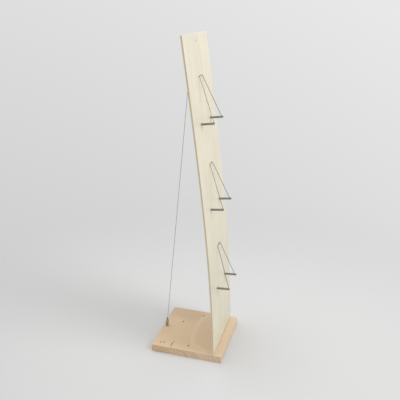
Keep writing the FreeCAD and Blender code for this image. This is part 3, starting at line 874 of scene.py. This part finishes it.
# Behind the panel each rod is held by a zinc-plated button-head screw with a
# hexagon socket, over a plain washer.
SCREW_RADIUS = 2 * MM
SCREW_GRIP = 10 * MM
BUTTON_RADIUS = 3.8 * MM
BUTTON_HEIGHT = 2.2 * MM
BUTTON_ROUND = 1.6 * MM
SOCKET_FLATS = 2.5 * MM
SOCKET_DEPTH = 1.3 * MM
WASHER_RADIUS = 4.5 * MM
WASHER_THICKNESS = 0.8 * MM
WASHER_ROUNDS = [0.05 * MM, 0.2 * MM, 0.1 * MM, 0.05 * MM]
SEAT_GAP = 0.02 * MM


def hexagon_socket(place, flats, depth):
    """A hexagonal key's recess, cut down from the top of a screw's head."""
    radius = flats / math.sqrt(3)
    corners = []
    for height in (-depth, OVERRUN):
        for side in range(6):
            angle = math.pi / 3 * side
            spot = Vector((radius * math.cos(angle), radius * math.sin(angle), height))
            corners.append(place @ spot)
    faces = [list(range(6)), list(range(6, 12))]
    faces += [[side, (side + 1) % 6, 6 + (side + 1) % 6, 6 + side] for side in range(6)]
    return new_piece("socket_tool", corners, faces)


def button_screw(place, length):
    """Zero is the top of the head, and the shank runs down from it."""
    screw = turned("screw", [
        (0, 0),
        (BUTTON_RADIUS, 0),
        (BUTTON_RADIUS, -BUTTON_HEIGHT),
        (SCREW_RADIUS, -BUTTON_HEIGHT),
        (SCREW_RADIUS, -length),
        (0, -length),
    ], [0, BUTTON_ROUND, 0.1 * MM, 0, 0.3 * MM, 0], place, sides=48, steps=6)
    cut_away(screw, hexagon_socket(place, SOCKET_FLATS, SOCKET_DEPTH))
    return screw


def joined(name, pieces):
    """Several like pieces as one object."""
    whole = bmesh.new()
    for piece in pieces:
        whole.from_mesh(piece.data)
    mesh = bpy.data.meshes.new(name)
    whole.to_mesh(mesh)
    whole.free()
    for piece in pieces:
        bpy.data.objects.remove(piece)
    return new_object(name, mesh)


# How rough plating is where it is most and least bright, as shares
PLATED_ROUGHNESS_SHARES = (0.75, 1.3)


def plated(name, colour, roughness):
    """Bright plating, slightly mottled."""
    material, add, finish = new_material(name, metallic=1.0)
    place = add("ShaderNodeTexCoord", {}, output="Object")
    mottle = add("ShaderNodeTexNoise", {"Vector": place, "Scale": 600.0, "Detail": 4.0})
    shade = toned(add, colour, mottle, NOISE_SPAN, (0.85, 1.08))
    rough = spread(add, mottle, WIDE_SPAN, [roughness * share for share in PLATED_ROUGHNESS_SHARES])
    fine = bump(add, mottle, strength=0.05, distance=0.03 * MM)
    finish(Base_Color=shade, Roughness=rough, Normal=fine)
    return material


half_turn = Matrix.Rotation(math.pi, 4, "X")
washer_depth = PANEL_THICKNESS + SEAT_GAP + WASHER_THICKNESS
head_depth = washer_depth + SEAT_GAP + BUTTON_HEIGHT
screws = []
washers = []
for level in LEVELS:
    for side in SIDES:
        screws.append(button_screw(rod_frame(level, side, head_depth) @ half_turn,
                                   head_depth + SCREW_GRIP))
        washers.append(turned("washer", [
            (SCREW_HOLE_RADIUS, 0),
            (WASHER_RADIUS, 0),
            (WASHER_RADIUS, WASHER_THICKNESS),
            (SCREW_HOLE_RADIUS, WASHER_THICKNESS),
        ], WASHER_ROUNDS, rod_frame(level, side, washer_depth), sides=48))
zinc_finish = plated("zinc_plate", colour=(0.56, 0.56, 0.55), roughness=0.32)
fastener_groups = [
    ("button_screws", "rod_screws", screws),
    ("plain_washers", "rod_washers", washers),
]
for name, node, pieces in fastener_groups:
    group = joined(name, pieces)
    smooth(group)
    dress(group, zinc_finish, "stand", node)


# Each retainer is one piece of bright 2 mm spring wire bent to a narrow A. Its
# ends are turned outwards through the rods' cross holes, so that it swings,
# and its short top bar falls back against the panel.
WIRE_RADIUS = 1 * MM
PINTLE_BEND = 2 * MM
PINTLE_TIP = ROD_SPACING / 2 + ROD_RADIUS + 1.2 * MM
RETAINER_HEIGHT = 164 * MM
RETAINER_TOP = 35 * MM
RETAINER_TOP_BEND = 4 * MM
TIP_ROUND = 0.35 * MM
# A rounded tip's middle ring lies this share of the round from its end, and as far in
TIP_SHOULDER_SHARE = 0.3


def tube(name, points, normals, radius, sides=20, tip=0.0):
    """A round wire along points. A normal per point keeps its rings from twisting."""
    spots = list(points)
    ring_sizes = [radius] * len(spots)
    normals = list(normals)
    if tip:
        head = (spots[0] - spots[1]).normalized()
        tail = (spots[-1] - spots[-2]).normalized()
        first, last = spots[0], spots[-1]
        spots[0] = first - head * tip
        spots[-1] = last - tail * tip
        spots = [first, first - head * tip * TIP_SHOULDER_SHARE] + spots
        spots += [last - tail * tip * TIP_SHOULDER_SHARE, last]
        end_sizes = [radius - tip, radius - tip * TIP_SHOULDER_SHARE]
        ring_sizes = end_sizes + ring_sizes + end_sizes[::-1]
        normals = [normals[0]] * 2 + normals + [normals[-1]] * 2
    vertices = []
    for index, (spot, normal, size) in enumerate(zip(spots, normals, ring_sizes)):
        before = spots[max(index - 1, 0)]
        after = spots[min(index + 1, len(spots) - 1)]
        run = (after - before).normalized()
        across = (normal - run * normal.dot(run)).normalized()
        other = run.cross(across)
        for side in range(sides):
            angle = 2 * math.pi * side / sides
            vertices.append(spot + (across * math.cos(angle) + other * math.sin(angle)) * size)
    return ringed(name, vertices, len(spots), sides)


def retainer_lean(level, hinge):
    """The wire's backward lean, from its hinge to the middle of its top bar in the frame."""
    bar_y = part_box(level + "_retainer")[1].y - WIRE_RADIUS
    return math.asin((bar_y - hinge.y) / RETAINER_HEIGHT)


def wire_retainer(level, finish):
    hinge = Vector(joints[level + "_retainer_hinge"]["pos_m"])
    knee = ROD_SPACING / 2 - ROD_RADIUS - PINTLE_BEND
    corners = [
        Vector((-PINTLE_TIP, 0, 0)),
        Vector((-knee, 0, 0)),
        Vector((-RETAINER_TOP / 2, 0, RETAINER_HEIGHT)),
        Vector((RETAINER_TOP / 2, 0, RETAINER_HEIGHT)),
        Vector((knee, 0, 0)),
        Vector((PINTLE_TIP, 0, 0)),
    ]
    bends = [0, PINTLE_BEND, RETAINER_TOP_BEND, RETAINER_TOP_BEND, PINTLE_BEND, 0]
    place = Matrix.Translation(hinge) @ Matrix.Rotation(-retainer_lean(level, hinge), 4, "X")
    route = [place @ spot for spot in rounded(corners, bends, steps=10, closed=False)]
    normal = place.to_3x3() @ Vector((0, 1, 0))
    wire = tube(level + "_retainer_wire", route, [normal] * len(route), WIRE_RADIUS, tip=TIP_ROUND)
    smooth(wire, sharp_over=50)
    dress(wire, finish, level + "_retainer", level + "_retainer")


wire_finish = plated("wire_steel", colour=(0.22, 0.215, 0.205), roughness=0.28)
for level in LEVELS:
    wire_retainer(level, wire_finish)


# The stay cable is a 1.5 mm stainless rope of seven strands, pulled tight from
# the base's rear to the panel's top.
cable_low, cable_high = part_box("stay_cable")
CABLE_RADIUS = 0.75 * MM
STRAND_RADIUS = CABLE_RADIUS / 3
STRAND_SIDES = 6
STRAND_LAY = 11 * MM
LAY_STEPS = 10
OUTER_STRANDS = 6
cable_start = (cable_low.z - cable_foot.z) / cable_direction.z
cable_end = (cable_high.z - cable_foot.z) / cable_direction.z


def stay_rope():
    strands = []
    length = cable_end - cable_start
    count = round(length / STRAND_LAY * LAY_STEPS)
    place = cable_frame(cable_start)
    for strand in range(OUTER_STRANDS + 1):
        reach = 0 if strand == 0 else CABLE_RADIUS - STRAND_RADIUS
        points = []
        normals = []
        for step in range(count + 1):
            angle = 2 * math.pi * (step / LAY_STEPS + strand / OUTER_STRANDS)
            around = Vector((math.cos(angle), math.sin(angle), 0))
            height = length * step / count
            points.append(place @ (around * reach + Vector((0, 0, height))))
            normals.append(place.to_3x3() @ (around if strand else Vector((1, 0, 0))))
        strands.append(tube("strand", points, normals, STRAND_RADIUS, STRAND_SIDES))
    rope = joined("stay_rope", strands)
    rope.data.shade_smooth()
    return rope


cable_finish = plated("cable_steel", colour=(0.32, 0.32, 0.32), roughness=0.36)
dress(stay_rope(), cable_finish, "stand", "stay_cable")


# At the top the rope passes through a turned post on the panel's back, drilled
# on the slant, and a crimped ferrule stops it there. A countersunk screw from
# the panel's front holds the post.
POST_RADIUS = 4.5 * MM
POST_LENGTH = 12 * MM
POST_END_ROUND = 0.9 * MM
POST_BORE_RADIUS = 2.05 * MM
POST_SCREW_GRIP = 4 * MM
CABLE_HOLE_RADIUS = 1.05 * MM
FERRULE_RADIUS = 1.9 * MM
FERRULE_LENGTH = 8 * MM
CABLE_TAIL = 2 * MM
CRIMP_DEPTH = 0.25 * MM
CRIMP_ROUND = 0.5 * MM
# Where along the ferrule the crimp starts, is down, starts to rise and is out
CRIMP_SHARES = (0.30, 0.38, 0.62, 0.70)
STANDOFF = 7.4 * MM
post_place = panel_frame(POST_HEIGHT, 0, PANEL_THICKNESS + SEAT_GAP)
post = turned("turned_post", [
    (0, -POST_SCREW_GRIP),
    (POST_BORE_RADIUS, -POST_SCREW_GRIP),
    (POST_BORE_RADIUS, 0),
    (POST_RADIUS, 0),
    (POST_RADIUS, -POST_LENGTH),
    (0, -POST_LENGTH),
], [0, 0, 0.1 * MM, 0.2 * MM, POST_END_ROUND, 0], post_place)
post_middle = panel_point(0, POST_HEIGHT, PANEL_THICKNESS + STANDOFF)
post_distance = (post_middle - cable_foot).dot(cable_direction)
reach = POST_RADIUS + OVERRUN
cut_away(post, plain_drill(cable_frame(post_distance), CABLE_HOLE_RADIUS, -reach, reach))
smooth(post)
note_own_places(post, post_place)
turned_finish = turned_metal("turned_steel", colour=(0.50, 0.47, 0.43), roughness=0.22)
dress(post, turned_finish, "stand", "anchor_post")

screw_place = panel_frame(POST_HEIGHT, 0, SEAT_GAP)
flat_screw = turned("flat_head_screw", [
    (0, 0),
    (POST_SCREW_HEAD, 0),
    (POST_SCREW_RADIUS, -POST_SCREW_HEAD_DEPTH),
    (POST_SCREW_RADIUS, -PANEL_THICKNESS - POST_SCREW_GRIP),
    (0, -PANEL_THICKNESS - POST_SCREW_GRIP),
], [0, 0.15 * MM, 0, 0.3 * MM, 0], screw_place, sides=48)
cut_away(flat_screw, hexagon_socket(screw_place, SOCKET_FLATS, SOCKET_DEPTH))
smooth(flat_screw)
dress(flat_screw, zinc_finish, "stand", "anchor_screw")

ferrule_place = cable_frame(cable_end - CABLE_TAIL - FERRULE_LENGTH)
crimp_start, crimp_down, crimp_rise, crimp_end = [FERRULE_LENGTH * share for share in CRIMP_SHARES]
ferrule = turned("crimped_ferrule", [
    (CABLE_RADIUS, 0),
    (FERRULE_RADIUS, 0),
    (FERRULE_RADIUS, crimp_start),
    (FERRULE_RADIUS - CRIMP_DEPTH, crimp_down),
    (FERRULE_RADIUS - CRIMP_DEPTH, crimp_rise),
    (FERRULE_RADIUS, crimp_end),
    (FERRULE_RADIUS, FERRULE_LENGTH),
    (CABLE_RADIUS, FERRULE_LENGTH),
], [0, 0.3 * MM] + [CRIMP_ROUND] * 4 + [0.3 * MM, 0], ferrule_place, sides=48)
smooth(ferrule)
note_own_places(ferrule, ferrule_place)
dark_finish = turned_metal("dark_steel", colour=(0.20, 0.19, 0.18), roughness=0.38)
dress(ferrule, dark_finish, "stand", "cable_ferrule")


# At the foot the rope is swaged into a threaded terminal. A turned barrel with
# a cross hole for a pin joins it to a stud in the base, with opposite threads,
# and turning the barrel draws the rope tight.
BARREL_RADIUS = 6 * MM
BARREL_LENGTH = 28 * MM
BARREL_LIFT = 1.2 * MM
BARREL_BORE = 2.55 * MM
BARREL_ROUND = 0.9 * MM
TOMMY_RADIUS = 1.5 * MM
STUD_RADIUS = 2.5 * MM
STUD_REACH = 13 * MM
STUD_DEPTH = 14 * MM
TERMINAL_GRIP = 12 * MM
NECK_RADIUS = 2.2 * MM
NECK_LENGTH = 9 * MM
NECK_ROUND = 0.7 * MM
SWAGE_DEPTH = 8 * MM
THREAD_PITCH = 0.8 * MM
THREAD_DEPTH = 0.3 * MM
# Where in a turn of the thread a crest ends, the root lies and the next crest starts
CREST_END_SHARE = 0.1
ROOT_SHARE = 0.5
CREST_START_SHARE = 0.9
INSERT_SINK = 0.8 * MM


def threaded_outline(radius, start, end):
    """Corners of a thread's section from start up to end."""
    turns = int((end - start) / THREAD_PITCH)
    corners = []
    for turn in range(turns):
        height = start + THREAD_PITCH * turn
        corners.append((radius, height + THREAD_PITCH * CREST_END_SHARE))
        corners.append((radius - THREAD_DEPTH, height + THREAD_PITCH * ROOT_SHARE))
        corners.append((radius, height + THREAD_PITCH * CREST_START_SHARE))
    return corners


terminal_place = cable_frame(BARREL_LIFT + BARREL_LENGTH)
terminal_thread = threaded_outline(STUD_RADIUS, -TERMINAL_GRIP, 0)
terminal_outline = [(0, -TERMINAL_GRIP)] + terminal_thread + [
    (NECK_RADIUS, 0),
    (NECK_RADIUS, NECK_LENGTH),
    (CABLE_RADIUS, NECK_LENGTH),
    (CABLE_RADIUS, NECK_LENGTH - SWAGE_DEPTH),
    (0, NECK_LENGTH - SWAGE_DEPTH),
]
terminal_rounds = [0] * (len(terminal_thread) + 2) + [NECK_ROUND, 0.1 * MM, 0, 0]
terminal = turned("swaged_terminal", terminal_outline, terminal_rounds, terminal_place, sides=48)
smooth(terminal)
note_own_places(terminal, terminal_place)
dress(terminal, dark_finish, "stand", "cable_terminal")

barrel_place = cable_frame(BARREL_LIFT)
barrel = turned("turned_barrel", [
    (BARREL_BORE, 0),
    (BARREL_RADIUS, 0),
    (BARREL_RADIUS, BARREL_LENGTH),
    (BARREL_BORE, BARREL_LENGTH),
], [0.3 * MM, BARREL_ROUND, BARREL_ROUND, 0.3 * MM], barrel_place)
stud_end = STUD_REACH - BARREL_LIFT
terminal_end = BARREL_LENGTH - TERMINAL_GRIP
middle = barrel_place @ Matrix.Translation((0, 0, (stud_end + terminal_end) / 2))
cut_away(barrel, cross_hole(TOMMY_RADIUS, BARREL_RADIUS + OVERRUN, middle))
smooth(barrel)
note_own_places(barrel, barrel_place)
dress(barrel, turned_finish, "tensioner", "tensioner_barrel")

stud_place = cable_frame(0)
stud_thread = threaded_outline(STUD_RADIUS, -STUD_DEPTH, STUD_REACH)
stud = turned("threaded_stud", [(0, -STUD_DEPTH)] + stud_thread + [(0, STUD_REACH)],
              [0] * (len(stud_thread) + 2), stud_place, sides=48)
smooth(stud)
dress(stud, zinc_finish, "stand", "anchor_stud")

insert = turned("brass_insert", [
    (0, -INSERT_DEPTH),
    (INSERT_RADIUS, -INSERT_DEPTH),
    (INSERT_RADIUS, -INSERT_SINK),
    (BARREL_BORE, -INSERT_SINK),
    (BARREL_BORE, -STUD_DEPTH - SEAT_GAP),
    (0, -STUD_DEPTH - SEAT_GAP),
], [0, 0.3 * MM, 0.2 * MM, 0.2 * MM, 0, 0], stud_place, sides=48)
smooth(insert)
brass_finish = plated("brass", colour=(0.72, 0.52, 0.24), roughness=0.35)
dress(insert, brass_finish, "stand", "anchor_insert")


# The stand is shown on a plain pale floor that fades into a pale surround. The
# main light is broad and high, in front and a little to the left, with another
# above and behind, so that the shadows stay soft.
FLOOR_GREY = 0.62
FLOOR_ROUGHNESS = 0.85
FLOOR_GLOSS = 0.1
# The surround's light, and its grey as seen, which changes with the direction
SURROUND_LIGHT = 0.66
SURROUND_GREY = 0.807
SURROUND_TURN = (0, -0.13, 0.25)
SURROUND_DARKEST = 0.62
SURROUND_PALEST = 0.83
FLOOR_FADE_START = 0.40
FLOOR_FADE_END = 1.80
FLOOR_REACH = 2.0
floor = new_piece("floor", [
    (FLOOR_REACH * x, FLOOR_REACH * y, 0) for x, y in ((-1, -1), (1, -1), (1, 1), (-1, 1))
], [(0, 1, 2, 3)])


def floor_finish():
    material, add, finish = new_material("pale_floor")
    tree = material.node_tree
    shader = tree.nodes["Principled BSDF"]
    shader.inputs["Base Color"].default_value = (FLOOR_GREY, FLOOR_GREY, FLOOR_GREY, 1)
    shader.inputs["Roughness"].default_value = FLOOR_ROUGHNESS
    shader.inputs["Specular IOR Level"].default_value = FLOOR_GLOSS
    place = add("ShaderNodeTexCoord", {}, output="Object")
    distance = vector(add, "LENGTH", place, output="Value")
    fade = spread(add, distance, (FLOOR_FADE_START, FLOOR_FADE_END), kind="SMOOTHSTEP")
    clear = add("ShaderNodeBsdfTransparent", {})
    both = add("ShaderNodeMixShader", {0: fade, 1: shader.outputs["BSDF"], 2: clear})
    tree.links.new(both, tree.nodes["Material Output"].inputs["Surface"])
    return material


floor.data.materials.append(floor_finish())


def soft_light(name, place, target, width, power):
    data = bpy.data.lights.new(name, "AREA")
    data.shape = "DISK"
    data.size = width
    data.energy = power
    light = new_object(name, data)
    light.location = place
    light.rotation_mode = "QUATERNION"
    light.rotation_quaternion = (Vector(target) - Vector(place)).to_track_quat("-Z", "Y")
    light.visible_camera = False


soft_light("front_light", place=(-0.4, -2.6, 2.6), target=(0, 0, 0.5), width=1.6, power=50)
soft_light("top_light", place=(0.3, 0.6, 3.2), target=(0, 0, 0.2), width=2.2, power=36)

world = bpy.data.worlds.new("pale_surround")
bpy.context.scene.world = world
world.use_nodes = True
sky = world.node_tree
add = node_adder(sky)
lighting = sky.nodes["Background"]
lighting.inputs["Color"].default_value = (1, 1, 1, 1)
lighting.inputs["Strength"].default_value = SURROUND_LIGHT
direction = add("ShaderNodeTexCoord", {}, output="Generated")
turn = vector(add, "DOT_PRODUCT", direction, SURROUND_TURN, output="Value")
turns = (SURROUND_DARKEST - SURROUND_GREY, SURROUND_PALEST - SURROUND_GREY)
grey = spread(add, turn, turns, (SURROUND_DARKEST, SURROUND_PALEST))
seen = add("ShaderNodeBackground", {"Color": grey})
ray = add("ShaderNodeLightPath", {}).node
direct = number(add, "MAXIMUM", ray.outputs["Is Camera Ray"], ray.outputs["Is Glossy Ray"])
either = number(add, "MAXIMUM", direct, ray.outputs["Is Transmission Ray"])
both = add("ShaderNodeMixShader", {0: either, 1: lighting.outputs[0], 2: seen})
sky.links.new(both, sky.nodes["World Output"].inputs["Surface"])
bpy.context.scene.view_settings.view_transform = "Standard"
